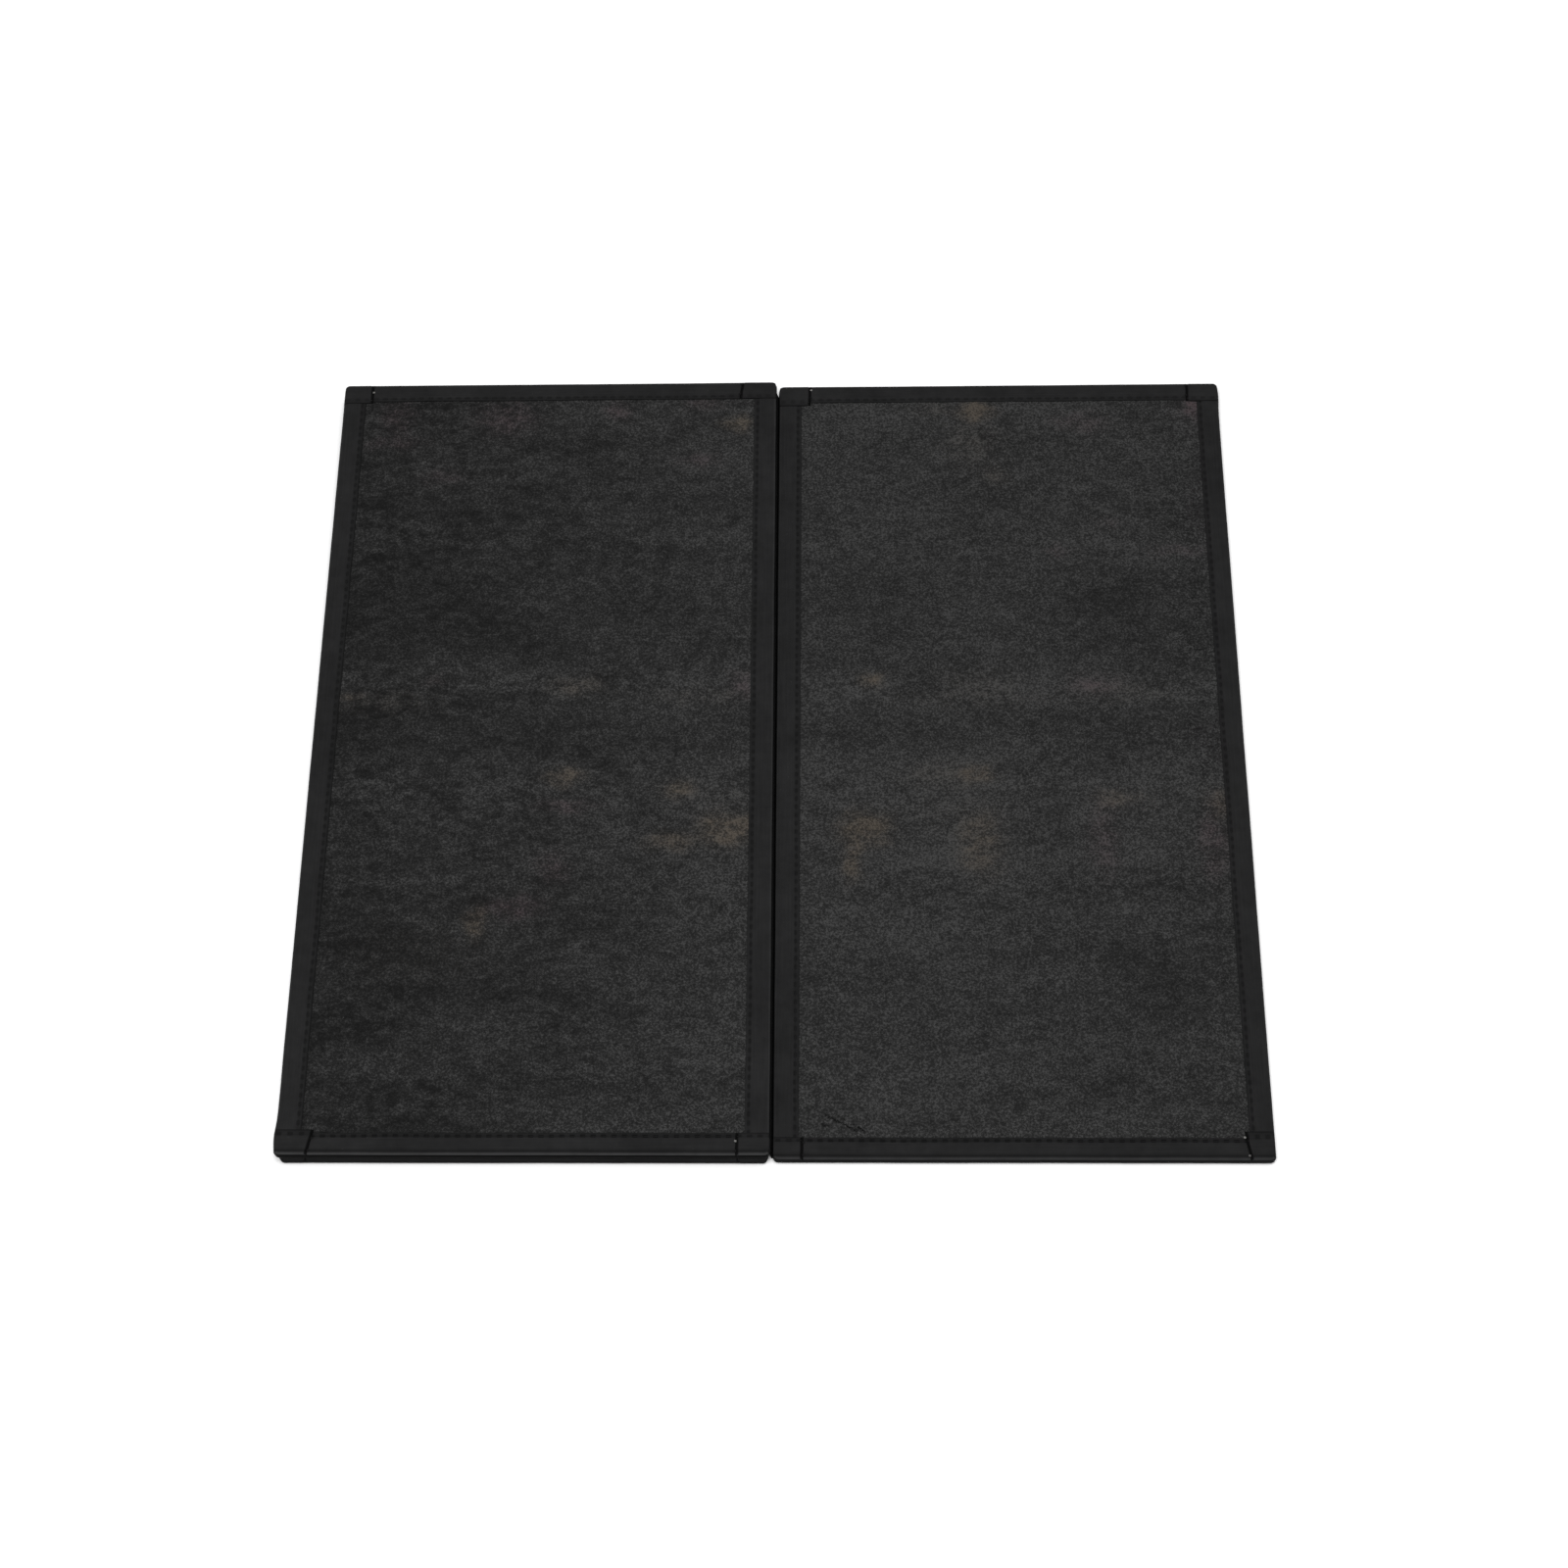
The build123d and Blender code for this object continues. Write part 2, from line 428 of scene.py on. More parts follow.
def dress(piece, material):
    """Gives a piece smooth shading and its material."""
    pick(piece)
    bpy.ops.object.shade_smooth_by_angle(angle=SMOOTH_UP_TO)
    piece.data.materials.clear()
    piece.data.materials.append(material)


def finish_soft(piece, panel, material, node):
    """Dresses a piece that rides with its panel and stands for one CAD node."""
    dress(piece, material)
    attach(piece, panel.body)
    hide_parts(node)


def note_tape(piece, panel, side, signed, margin):
    """Notes a tape's edge, crease and margin, and its painted highlight and painted shade."""
    note(piece, "edge", np.abs(signed) / MM)
    # The front crease, darkened with painted shade.
    note(piece, "crease", fold_line(np.abs(signed)) * (side == "front"))
    note(piece, "margin", np.full_like(signed, margin))
    # Painted highlight on the shoulder, strongest on the front sides.
    rubbed = SHOULDER_HIGHLIGHT[panel.name] * (1.0 if side == "front" else 0.3)
    note(piece, "rubbed", np.full_like(signed, rubbed))
    # Painted shade on the tape's outer face.
    note(piece, "grime", np.full_like(signed, PAINTED_SHADE[panel.name]))


def make_binding(panel, side):
    """The tape folded round one long or short side."""
    long_side = side in ("left", "right")
    drop = LONG_DROP if long_side else SHORT_DROP
    total = panel.side_length(side)
    # Four rows of points to a stitch, or two on the panel that is mostly hidden.
    fineness = 0.25 if panel is not FOLDED else 0.5
    rows = int((total - 2 * BINDING_ENDS) / (STITCH_PITCH * fineness)) + 1
    along = np.linspace(BINDING_ENDS, total - BINDING_ENDS, rows)
    if side in ("left", "back"):
        along = along[::-1]
    name = f"{panel.name}_{panel.node_side(side)}_binding"
    piece, signed, run = net(name, SIGNED_STEPS, along)
    u, v, h = wrap_points(panel, side, signed, run, drop, BINDING_REACH, BINDING_WAVE)
    set_points(piece, panel.place(u, v, h))
    lay_pattern(piece, signed, run)
    # Painted shade at the tape's inner edge.
    note(piece, "edge_shade", inner_edge(signed) * EDGE_SHADES[panel.name][side])
    note_tape(piece, panel, side, signed, MARGINS[side])
    apply_modifier(piece, "SOLIDIFY", thickness=TAPE, offset=-1)
    finish_soft(piece, panel, BINDING, f"{panel.name}_binding_{panel.node_side(side)}")
    flat = (2 * BINDING_REACH + panel.half * TURN_ROUND, total - 2 * BINDING_ENDS)


def make_cap(panel, end, side, outer, inner, extra):
    """The tab of tape folded over one corner.

    outer and inner are its lengths at the panel's edge and at its own inner edge, extra its added reach.
    """
    reach = BINDING_REACH + extra
    last = [0.86, 0.885, 0.91, 0.93, 0.95, 0.975, 1]
    run_share = np.concatenate([np.linspace(0, 0.25, 9), np.linspace(0.3, 0.82, 11), last])
    along = run_share if side == "left" else 1 - run_share[::-1]
    if end == "back":
        along = along[::-1]
    name = f"{panel.name}_{end}_{panel.node_side(side)}_cap"
    piece, signed, share = net(name, SIGNED_STEPS, along)
    from_corner = share if side == "left" else 1 - share
    far = outer + (inner - outer) * np.abs(signed) / BINDING_REACH
    seed = side_seed(panel, end) + (5 if side == "left" else 6)
    far = far + 0.25 * MM * wander(signed, seed, 0.02)
    p = from_corner * far
    run = p if side == "left" else panel.width - p
    u, v, h = wrap_points(panel, end, signed, run, -CAP_LIFT * panel.lift, reach, CAP_WAVE)
    stitched = np.exp(-(((far - p - 1.5 * MM) / (0.7 * MM)) ** 2))
    h = h - np.sign(h) * (stitched * 0.25 + smooth((p - far + 1.4 * MM) / (1.2 * MM)) * 0.12) * MM
    set_points(piece, panel.place(u, v, h))
    lay_pattern(piece, signed, run)
    cross_edge = smooth((p - far + 2.2 * MM) / (0.6 * MM))
    # Painted shade at the cap's inner edge and along its cut end, where it steps down onto the binding.
    note(piece, "edge_shade", np.maximum(inner_edge(signed) * 0.8, cross_edge))
    note_tape(piece, panel, end, signed, 0.5 * MARGINS[end])
    edit(piece, bpy.ops.mesh.remove_doubles, threshold=0.00001)
    apply_modifier(piece, "SOLIDIFY", thickness=TAPE, offset=-1)
    node = f"{panel.name}_corner_cap_{end}_{panel.node_side(side)}"
    finish_soft(piece, panel, BINDING, node)
    flat = (2 * reach + panel.half * TURN_ROUND, (outer + inner) / 2 + panel.half)
    panel.name + "_binding_" + end


# ---- stitching ----
def stitch_bar(name, length, width, height):
    """One pulled-tight stitch of thread."""
    clear_selection()
    bpy.ops.mesh.primitive_uv_sphere_add(segments=6, ring_count=5, radius=1, rotation=(0, math.pi / 2, 0))
    piece = bpy.context.object
    piece.name = name
    piece.data.name = name
    bpy.ops.object.transform_apply(location=False, rotation=True, scale=False)
    bpy.ops.transform.resize(value=(length / 2, width / 2, height / 2))
    bpy.ops.object.transform_apply(location=False, rotation=False, scale=True)
    return piece


def repeat(piece, count, step):
    """Repeats the piece in a row."""
    apply_modifier(
        piece,
        "ARRAY",
        count=count,
        use_relative_offset=False,
        use_constant_offset=True,
        constant_offset_displace=step,
    )


def make_seam(panel, side):
    """A run of stitches on both faces of one side's binding."""
    long_side = side in ("left", "right")
    total = panel.side_length(side)
    ends = BINDING_REACH if long_side else SHORT_SEAM_START
    first_hole = math.ceil(ends / STITCH_PITCH)
    count = int((total - ends) / STITCH_PITCH) - first_hole
    first = (first_hole + 0.5) * STITCH_PITCH
    name = f"{panel.name}_{panel.node_side(side)}_seam"
    piece = stitch_bar(name, *STITCH)
    repeat(piece, count, (STITCH_PITCH, 0, 0))
    # The second row, 1 m up for now to tell it apart, becomes the stitches of the lower face.
    repeat(piece, 2, (0, 0, 1))
    co = points_of(piece)
    lower = co[:, 2] > 0.5
    height = co[:, 2] - np.where(lower, 1, 0)
    along = co[:, 0] + first
    seed = side_seed(panel, side)
    slant = 0.10 * (np.mod(along / STITCH_PITCH, 1) - 0.5) * MM
    e = SEAM_INSET + co[:, 1] + slant + 0.12 * MM * wander(along, seed + 4, 0.08)
    u, v = panel.from_side(side, e, along)
    drop = LONG_DROP
    if not long_side:
        near = np.minimum(along, total - along)
        drop = np.where(near < CAP_COVER, -CAP_LIFT * panel.lift, SHORT_DROP)
    level = panel.half - np.where(lower, np.abs(drop), drop)
    surface = level + tape_relief(np.full_like(e, SEAM_INSET), along, seed + 3)
    sign = np.where(lower, -1, 1)
    if long_side:
        u = u + np.abs(drop) * DROP_INSET * (1 if side == "left" else -1)
    else:
        v = v + np.abs(drop) * DROP_INSET * (1 if side == "front" else -1)
    set_points(piece, panel.place(u, v, sign * (surface + THREAD_LIFT + height)))
    edit(piece, bpy.ops.mesh.normals_make_consistent, inside=False)
    finish_soft(piece, panel, THREAD, f"{panel.name}_seam_{panel.node_side(side)}")


def make_tacks(panel, caps):
    """Bar tacks where the corner caps end, on the back-cloth face, with a few left in paler thread."""
    piece = stitch_bar(panel.name + "_corner_tacks_thread", *TACK_STRAND)
    repeat(piece, 3, (0, TACK_PITCH, 0))
    per_tack = len(piece.data.vertices)
    spots = []
    for (end, side), (outer, inner, _, tacks) in caps.items():
        for inset_mm, pale in tacks:
            inset = inset_mm * MM
            far = (outer + (inner - outer) * inset / BINDING_REACH) * MM
            u = far if side == "left" else panel.width - far
            v = inset if end == "front" else panel.length - inset
            relief = tape_relief(np.array([inset]), np.array([u]), side_seed(panel, end) + 3)[0]
            spots.append((u, v, pale, relief))
    # One tack to a spot, 1 m apart until each is moved to its own.
    repeat(piece, len(spots), (1, 0, 0))
    co = points_of(piece)
    which = np.arange(len(co)) // per_tack
    spot = np.array(spots)[which]
    turn = np.where(spot[:, 0] < panel.width / 2, LEFT_TURN, RIGHT_TURN)
    dx = co[:, 0] - which
    dy = co[:, 1] - TACK_PITCH
    u = spot[:, 0] + dx * np.cos(turn) - dy * np.sin(turn)
    v = spot[:, 1] + dx * np.sin(turn) + dy * np.cos(turn)
    face = panel.back_cloth_face
    h = face * (panel.half + CAP_LIFT * panel.lift + spot[:, 3] + co[:, 2])
    set_points(piece, panel.place(u, v, h))
    note(piece, "pale", spot[:, 2])
    edit(piece, bpy.ops.mesh.normals_make_consistent, inside=False)
    finish_soft(piece, panel, THREAD, panel.name + "_corner_tacks")


# ---- cloth, skin and foam ----
def line_dip(u, v, start, end, width):
    """1 along a straight crease from start to end, fading out to its sides and ends."""
    run = math.hypot(end[0] - start[0], end[1] - start[1])
    du = (end[0] - start[0]) / run
    dv = (end[1] - start[1]) / run
    along = (u - start[0]) * du + (v - start[1]) * dv
    off = (v - start[1]) * du - (u - start[0]) * dv
    fade = smooth(along / (0.25 * run)) * smooth((run - along) / (0.25 * run))
    return np.exp(-((off / width) ** 2)) * fade


def with_finer(values, low, high, step):
    """The same run of values, with closer ones between low and high."""
    outside = values[(values < low) | (values > high)]
    return np.sort(np.concatenate([outside, np.arange(low, high, step)]))


def make_cloth(panel, name, face, spacing, crown, creases):
    """A sheet sewn in under the bindings: drawn down at its edges and a little full over the foam."""
    columns = int((panel.width - 2 * TUCK) / spacing)
    rows = int((panel.length - 2 * TUCK) / spacing)
    across = np.linspace(TUCK, panel.width - TUCK, columns)
    along = np.linspace(TUCK, panel.length - TUCK, rows)
    if creases:
        tips = np.array([tip for crease in creases for tip in crease[:2]]) * MM
        low = tips.min(axis=0) - CREASE_MARGIN
        high = tips.max(axis=0) + CREASE_MARGIN
        across = with_finer(across, low[0], high[0], CREASE_SPACING)
        along = with_finer(along, low[1], high[1], CREASE_SPACING)
    if face < 0:
        across = across[::-1]
    piece, u, v = net(name, across, along)
    e = np.minimum(np.minimum(u, panel.width - u), np.minimum(v, panel.length - v))
    seed = CLOTH_SEED + 100 * PANELS.index(panel) + face
    rise = smooth((e - RISE_FROM + 1.2 * MM * rolling(u, v, seed, 0.07)) / RISE_RUN)
    field = crown + 0.16 * MM * rolling(u, v, seed + 1, 0.21)
    depth = UNDER_BINDING * (1 - rise) - field * rise
    crease = np.zeros_like(u)
    for start, end, width, deep in creases:
        start = np.array(start)
        end = np.array(end)
        dip = line_dip(u, v, start * MM, end * MM, width * MM)
        ridge = line_dip(u, v, (start + RIDGE_BESIDE) * MM, (end + RIDGE_BESIDE) * MM, width * MM)
        depth = depth + (dip - 0.6 * ridge) * deep * MM
        crease = crease + dip
    set_points(piece, panel.place(u, v, face * (panel.half - depth)))
    lay_pattern(piece, u, v)
    note(piece, "edge", e / MM)
    # Where the creases run, darkened with painted shade.
    note(piece, "crease", crease)
    return piece, u, v


def finish_cloth(piece, panel, thickness, slot, material):
    apply_modifier(piece, "SOLIDIFY", thickness=thickness, offset=-1)
    finish_soft(piece, panel, material, f"{panel.name}_{slot}")


def make_core(panel):
    """The foam slab between the two skins."""
    piece, u, v = net(
        panel.name + "_foam_slab",
        np.linspace(CORE_INSET, panel.width - CORE_INSET, 40),
        np.linspace(CORE_INSET, panel.length - CORE_INSET, 80),
    )
    sink = 0.06 * MM * rolling(u, v, CORE_SEED + PANELS.index(panel), 0.12)
    set_points(piece, panel.place(u, v, sink))
    lay_pattern(piece, u, v)
    apply_modifier(piece, "SOLIDIFY", thickness=CORE_THICKNESS, offset=0)
    sharp = math.radians(60)
    apply_modifier(piece, "BEVEL", width=CORE_ROUNDING, segments=3, limit_method="ANGLE", angle_limit=sharp)
    finish_soft(piece, panel, FOAM, panel.name + "_foam_core")


# ---- finishes ----
def feed(tree, socket, value):
    """Links a wire to the socket, or sets the socket to a plain value."""
    if isinstance(value, Wire):
        tree.links.new(value.socket, socket)
    else:
        socket.default_value = value


class Wire:
    """A value on its way through a finish's nodes, used in ordinary sums."""

    def __init__(self, tree, socket):
        self.tree = tree
        self.socket = socket

    def node(self, kind, settings, values, out=0):
        """A new node of this kind, with its settings and what goes into it, as one of its outputs."""
        made = self.tree.nodes.new(kind)
        for name, value in settings.items():
            setattr(made, name, value)
        for name, value in values.items():
            feed(self.tree, made.inputs[name], value)
        return Wire(self.tree, made.outputs[out])

    def maths(self, operation, a, b=0.0):
        return self.node("ShaderNodeMath", {"operation": operation}, {0: a, 1: b})

    def __add__(self, other):
        return self.maths("ADD", self, other)

    def __radd__(self, other):
        return self.maths("ADD", other, self)

    def __sub__(self, other):
        return self.maths("SUBTRACT", self, other)

    def __rsub__(self, other):
        return self.maths("SUBTRACT", other, self)

    def __mul__(self, other):
        return self.maths("MULTIPLY", self, other)

    def __rmul__(self, other):
        return self.maths("MULTIPLY", other, self)

    def __abs__(self):
        return self.maths("ABSOLUTE", self)

    def sine(self):
        return self.maths("SINE", self)

    def cosine(self):
        return self.maths("COSINE", self)

    def at_least(self, low):
        return self.maths("MAXIMUM", self, low)

    def between(self, low, high):
        """0 below low, 1 above high, and a smooth step between them."""
        values = {"Value": self, "From Min": low, "From Max": high}
        return self.node("ShaderNodeMapRange", {"interpolation_type": "SMOOTHSTEP"}, values)

    def tint(self, first, second):
        """A colour, from the first where this is 0 to the second where it is 1."""
        values = {0: self, 6: first, 7: second}
        return self.node("ShaderNodeMix", {"data_type": "RGBA"}, values, out=2)


class Finish:
    """A new material, with its surface node and the coordinates that its pattern follows."""

    def __init__(self, name):
        self.material = bpy.data.materials.new(name)
        self.material.use_nodes = True
        self.tree = self.material.node_tree
        self.surface = self.tree.nodes["Principled BSDF"]
        coordinates = self.tree.nodes.new("ShaderNodeTexCoord")
        self.place = Wire(self.tree, coordinates.outputs["Object"])
        self.pattern = Wire(self.tree, coordinates.outputs["UV"])

    def stretched(self, where, x, y, z=1.0):
        """Coordinates scaled by its own factor on each axis."""
        return where.node("ShaderNodeVectorMath", {"operation": "MULTIPLY"}, {0: where, 1: (x, y, z)})

    def part(self, where, axis):
        """One axis of some coordinates: 0, 1 or 2."""
        return where.node("ShaderNodeSeparateXYZ", {}, {0: where}, out=axis)

    def noted(self, name):
        """What was noted under this name at each point of the piece, or 0."""
        return self.place.node("ShaderNodeAttribute", {"attribute_name": name}, {}, out=2)

    def noise(self, where, scale, detail=3.0, rough=0.55):
        """Soft clouds from 0 to 1, scale of them to a metre."""
        values = {"Vector": where, "Scale": scale, "Detail": detail, "Roughness": rough}
        return where.node("ShaderNodeTexNoise", {}, values)

    def cells(self, where, scale, feature="F1"):
        """The distance to the nearest of many scattered points, or to the cell's edge."""
        return where.node("ShaderNodeTexVoronoi", {"feature": feature}, {"Vector": where, "Scale": scale})

    def set(self, **values):
        """Feeds the surface's own inputs, with _ for a space in their names."""
        for name, value in values.items():
            feed(self.tree, self.surface.inputs[name.replace("_", " ")], value)

    def bump(self, height, distance, strength):
        """Fine relief as high as distance where height is 1."""
        values = {"Height": height, "Distance": distance, "Strength": strength}
        return height.node("ShaderNodeBump", {}, values)

    def shine(self, level):
        """How strongly the whole surface reflects."""
        self.surface.inputs["Specular IOR Level"].default_value = level


def back_cloth_finish():
    """Black spunbond back cloth, embossed with fine diamonds, soiled pale in ragged patches."""
    f = Finish("back_cloth_finish")
    x = f.part(f.place, 0)
    y = f.part(f.place, 1)
    turns = TURN / EMBOSS_PITCH
    wobble = f.noise(f.place, 60.0, 2.0) * 1.2
    lattice = ((x + y) * turns + wobble).cosine() + ((x - y) * turns - wobble).cosine()
    dent = lattice.between(0.7, 1.7)
    fibre = f.noise(f.stretched(f.place, 900.0, 2600.0, 900.0), 1.0, 3.0, 0.7)
    fleck = f.noise(f.place, 740.0, 3.0, 0.8)
    cloud = f.noise(f.stretched(f.place, 120.0, 170.0, 120.0), 1.0, 5.0, 0.68)
    broad = f.noise(f.stretched(f.place, 11.0, 30.0), 1.0, 5.0, 0.62)
    ragged = f.noise(f.stretched(f.place, 85.0, 135.0, 85.0), 1.0, 6.0, 0.72).between(0.40, 0.62)
    edge = f.noted("edge")
    crease = f.noted("crease")
    specks = 1.0 - f.cells(f.place, 150.0).between(0.035, 0.085)
    lint = specks * f.noise(f.place, 60.0).between(0.52, 0.60)
    cracks = f.cells(f.stretched(f.place, 70.0, 190.0), 1.0, "DISTANCE_TO_EDGE")
    crackle = 1.0 - cracks.between(0.0, 0.09)
    worn = crackle * f.noted("crackled") * ragged
    # Paler or darker across each panel, plus pale patches of dirt.
    dust_and_paleness = f.noted("dust") + f.noted("blotch") * (0.25 + 1.25 * ragged)
    veil = 0.24 + 1.05 * dust_and_paleness + 0.44 * cloud.between(0.36, 0.72)
    veil = veil + 1.15 * (broad - 0.5) + 0.25 * (ragged - 0.5)
    veil = veil.at_least(0.17)
    sparkle = fleck.between(0.42, 0.70)
    tone = 0.05 + veil * (0.22 + 1.05 * sparkle)
    # The creases are darkened with painted shade.
    tone = tone + 0.12 * (fibre - 0.5) - 0.04 * dent - 0.40 * crease - 0.16 * worn + 0.6 * lint
    # Painted shade on the cloth under and just beside the binding's inner edge.
    tone = tone * (0.40 + 0.60 * edge.between(14.8, 15.8))
    base = tone.tint((0.0020, 0.0020, 0.0020, 1), (0.0372, 0.0372, 0.0371, 1))
    warm = f.noted("rust") * (0.50 + 0.80 * ragged)
    ochre = (tone + 0.04).tint((0.0036, 0.0031, 0.0028, 1), (0.0540, 0.0465, 0.0385, 1))
    rosy = (tone + 0.02).tint((0.0030, 0.0023, 0.0025, 1), (0.0465, 0.0360, 0.0385, 1))
    earthy = f.noted("rosy").tint(ochre, rosy)
    f.set(Base_Color=warm.tint(base, earthy))
    f.set(Roughness=0.80 - 0.12 * dent + 0.1 * cloud)
    f.shine(0.05)
    f.set(Normal=f.bump(fibre * 0.45 + fleck * 0.5 - dent * 0.9 - worn * 1.2, 0.00016, 0.8))
    return f.material


def face_skin_finish():
    """Black grained leatherette, a little glossy on top of its grain."""
    f = Finish("face_skin_finish")
    grain = f.cells(f.place, 520.0, "DISTANCE_TO_EDGE")
    pebble = grain.between(0.02, 0.22)
    uneven = f.noise(f.place, 160.0, 4.0, 0.6)
    broad = f.noise(f.place, 22.0, 4.0, 0.6)
    scuff = f.noise(f.stretched(f.place, 26.0, 210.0, 40.0), 1.0, 4.0, 0.7).between(0.62, 0.78)
    tone = 0.45 * pebble + 0.35 * uneven + 0.3 * broad + 0.35 * scuff
    f.set(Base_Color=tone.tint((0.0060, 0.0060, 0.0064, 1), (0.0270, 0.0262, 0.0262, 1)))
    f.set(Roughness=0.62 - 0.16 * pebble + 0.2 * (broad - 0.5) + 0.15 * scuff)
    f.shine(0.35)
    f.set(Normal=f.bump(pebble * 0.8 + uneven * 0.6, 0.00022, 0.7))
    return f.material


def foam_finish():
    """Charcoal closed-cell foam."""
    f = Finish("foam_finish")
    cell = f.cells(f.place, 900.0)
    uneven = f.noise(f.place, 130.0, 4.0)
    tone = cell.between(0.1, 0.7) * 0.6 + uneven * 0.6
    f.set(Base_Color=tone.tint((0.030, 0.030, 0.032, 1), (0.085, 0.084, 0.083, 1)))
    f.set(Roughness=0.86 + 0.1 * (uneven - 0.5))
    f.set(Normal=f.bump(cell, 0.00030, 0.6))
    return f.material


def binding_finish(name, smoothest, rib):
    """Black satin binding tape: fine cross ribs, a painted highlight on its shoulder and painted shade."""
    f = Finish(name)
    across = f.part(f.pattern, 0)
    along = f.part(f.pattern, 1)
    ribs = (along * (TURN / rib) + f.noise(f.pattern, 220.0, 2.0) * 2.0).sine()
    weft = (across * (TURN / (rib * 0.8))).sine()
    uneven = f.noise(f.place, 130.0, 4.0, 0.6)
    broad = f.noise(f.place, 28.0, 4.0, 0.6)
    streak = f.noise(f.stretched(f.pattern, 900.0, 24.0), 1.0, 3.0, 0.6)
    edge = f.noted("edge")
    # Painted highlight on the upper shoulder of the tape, where it turns the edge.
    shoulder = edge.between(0.20, 0.50) * (1.0 - edge.between(0.85, 1.7))
    rubbed = shoulder * (0.45 + 0.9 * uneven) * f.noted("rubbed")
    lint = (1.0 - f.cells(f.place, 190.0).between(0.02, 0.07)) * broad.between(0.5, 0.62)
    # Painted shade in the seam's groove, deepest at each stitch.
    stitch = 0.5 - 0.5 * (along * (TURN / STITCH_PITCH)).cosine()
    off_seam = abs(edge - SEAM_INSET / MM)
    groove = (1.0 - off_seam.between(0.5, 1.5)) * (0.15 + 0.85 * stitch.between(0.3, 0.7))
    # Painted shade on the tape's outer face, from just below its shoulder to a little way under the panel.
    shaded_part = across.between(-0.00050, -0.00015) * (1.0 - across.between(0.0015, 0.0030))
    # A darker strip between the seam and the inner edge.
    margin = edge.between(11.4, 12.4) * f.noted("margin")
    tone = 0.24 * uneven + 0.30 * broad + 0.22 * streak + 0.06 * ribs + 0.05 * weft
    tone = (tone + 0.75 * rubbed + 0.8 * lint) * (1.0 - 0.28 * margin)
    tone = tone * (1.0 - 0.75 * groove * (0.30 + 0.70 * f.noted("margin")))
    # Painted shade at the tape's inner edge and at a cap's cut end, and painted shade in the front crease.
    tone = tone * (1.0 - 0.92 * f.noted("edge_shade")) * (1.0 - 0.62 * f.noted("crease"))
    tone = tone * (1.0 - shaded_part * f.noted("grime"))
    f.set(Base_Color=tone.tint((0.0010, 0.0010, 0.0010, 1), (0.0292, 0.0292, 0.0297, 1)))
    f.set(Roughness=smoothest + 0.16 * uneven + 0.10 * broad + 0.08 * groove)
    f.shine(0.02)
    f.set(Normal=f.bump(ribs * 0.5 + weft * 0.35 + uneven * 1.6, 0.00008, 0.8))
    return f.material


def thread_finish():
    """Black sewing thread with a visible twist, and the paler thread of a few tacks."""
    f = Finish("thread_finish")
    x = f.part(f.place, 0)
    y = f.part(f.place, 1)
    twist = ((x + y) * (TURN / TWIST_PITCH) + (x - y) * (TURN / SLANT_PITCH)).sine()
    fuzz = f.noise(f.place, 1500.0, 3.0, 0.6)
    pale = f.noted("pale")
    tone = 0.3 + 0.25 * twist + 0.5 * fuzz
    dark = tone.tint((0.0012, 0.0012, 0.0014, 1), (0.0065, 0.0062, 0.0064, 1))
    light = tone.tint((0.10, 0.098, 0.094, 1), (0.24, 0.235, 0.225, 1))
    f.set(Base_Color=pale.tint(dark, light))
    f.set(Roughness=0.55 + 0.2 * fuzz)
    f.shine(0.1)
    f.set(Normal=f.bump(twist * 0.5 + fuzz * 0.4, 0.00008, 0.7))
    return f.material


BACK_CLOTH = back_cloth_finish()
FACE_SKIN = face_skin_finish()
FOAM = foam_finish()
BINDING = binding_finish("binding_finish", 0.46, BINDING_RIB)
HINGE = binding_finish("hinge_tape_finish", 0.66, HINGE_RIB)
THREAD = thread_finish()


